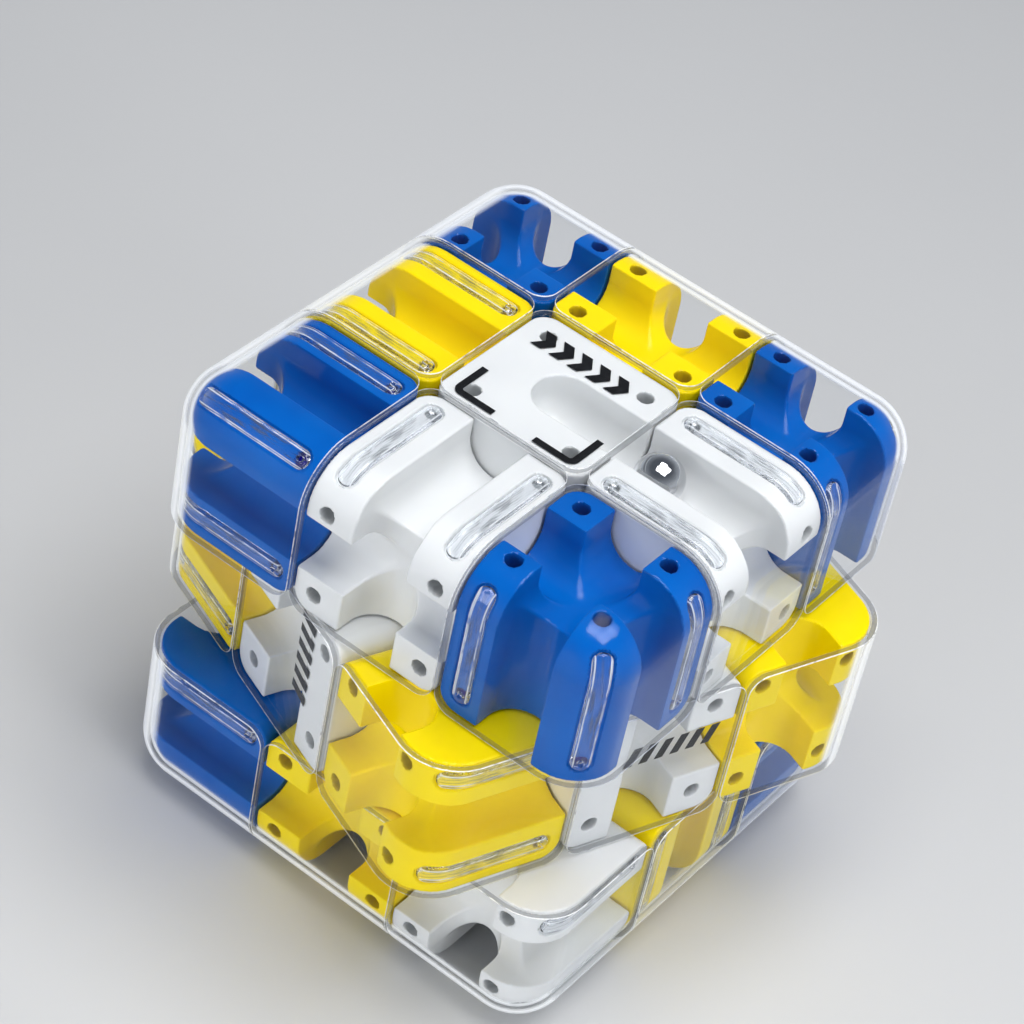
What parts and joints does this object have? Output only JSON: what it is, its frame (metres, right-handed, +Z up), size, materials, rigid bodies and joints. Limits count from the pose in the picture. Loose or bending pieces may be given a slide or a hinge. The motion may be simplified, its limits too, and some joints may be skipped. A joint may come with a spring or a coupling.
{
  "type": "ball maze cube puzzle",
  "caption": "Turning cube puzzle in three layers: coloured half-pipe tracks under clear covers, with a steel ball to roll through the maze.",
  "frame": {"origin": "centre of the flat underside, on the cube's turning axis", "axes": "+Z up along the layers' turning axis, +X along the start channel towards the front-right face, -Y the front-left face; the top and bottom layers are square to X and Y"},
  "size_m": [0.0886, 0.0886, 0.072],
  "materials": {
    "blue_plastic": "glossy moulded blue ABS",
    "yellow_plastic": "glossy moulded yellow ABS",
    "white_plastic": "glossy moulded white ABS",
    "clear_plastic": "clear moulded polycarbonate",
    "core_plastic": "satin grey",
    "polished_steel": "mirror polished bearing ball"
  },
  "bodies": {
    "core_and_middle": {"core": "core_plastic", "middle_centre_front_left_track": "white_plastic", "middle_centre_front_left_cover": "clear_plastic", "middle_centre_front_right_track": "white_plastic", "middle_centre_front_right_cover": "clear_plastic", "middle_centre_back_left_track": "white_plastic", "middle_centre_back_left_cover": "clear_plastic", "middle_centre_back_right_track": "white_plastic", "middle_centre_back_right_cover": "clear_plastic", "middle_edge_front_track": "yellow_plastic", "middle_edge_front_cover": "clear_plastic", "middle_edge_right_track": "yellow_plastic", "middle_edge_right_cover": "clear_plastic", "middle_edge_left_track": "yellow_plastic", "middle_edge_left_cover": "clear_plastic", "middle_edge_back_track": "yellow_plastic", "middle_edge_back_cover": "clear_plastic"},
    "top_layer": {"top_centre_track": "white_plastic", "top_centre_cover": "clear_plastic", "top_corner_front_track": "blue_plastic", "top_corner_front_cover": "clear_plastic", "top_corner_left_track": "blue_plastic", "top_corner_left_cover": "clear_plastic", "top_corner_right_track": "blue_plastic", "top_corner_right_cover": "clear_plastic", "top_corner_back_track": "blue_plastic", "top_corner_back_cover": "clear_plastic", "top_edge_front_left_track": "white_plastic", "top_edge_front_left_cover": "clear_plastic", "top_edge_front_right_track": "white_plastic", "top_edge_front_right_cover": "clear_plastic", "top_edge_back_left_track": "yellow_plastic", "top_edge_back_left_cover": "clear_plastic", "top_edge_back_right_track": "yellow_plastic", "top_edge_back_right_cover": "clear_plastic"},
    "bottom_layer": {"bottom_centre_track": "white_plastic", "bottom_centre_cover": "clear_plastic", "bottom_corner_front_track": "white_plastic", "bottom_corner_front_cover": "clear_plastic", "bottom_corner_left_track": "blue_plastic", "bottom_corner_left_cover": "clear_plastic", "bottom_corner_right_track": "blue_plastic", "bottom_corner_right_cover": "clear_plastic", "bottom_corner_back_track": "blue_plastic", "bottom_corner_back_cover": "clear_plastic", "bottom_edge_front_left_track": "yellow_plastic", "bottom_edge_front_left_cover": "clear_plastic", "bottom_edge_front_right_track": "yellow_plastic", "bottom_edge_front_right_cover": "clear_plastic", "bottom_edge_back_left_track": "yellow_plastic", "bottom_edge_back_left_cover": "clear_plastic", "bottom_edge_back_right_track": "white_plastic", "bottom_edge_back_right_cover": "clear_plastic"},
    "steel_ball": {"steel_ball": "polished_steel"}
  },
  "joints": [
    {"name": "top_layer_turn", "type": "hinge", "parent": "core_and_middle", "child": "top_layer", "pos_m": [0, 0, 0.048], "axis": [0, 0, 1], "continuous": true},
    {"name": "bottom_layer_turn", "type": "hinge", "parent": "core_and_middle", "child": "bottom_layer", "pos_m": [0, 0, 0.024], "axis": [0, 0, 1], "continuous": true},
    {"name": "ball_roll", "type": "slide", "parent": "top_layer", "child": "steel_ball", "axis": [1, 0, 0], "range_m": [-0.0158, 0.0107]}
  ]
}
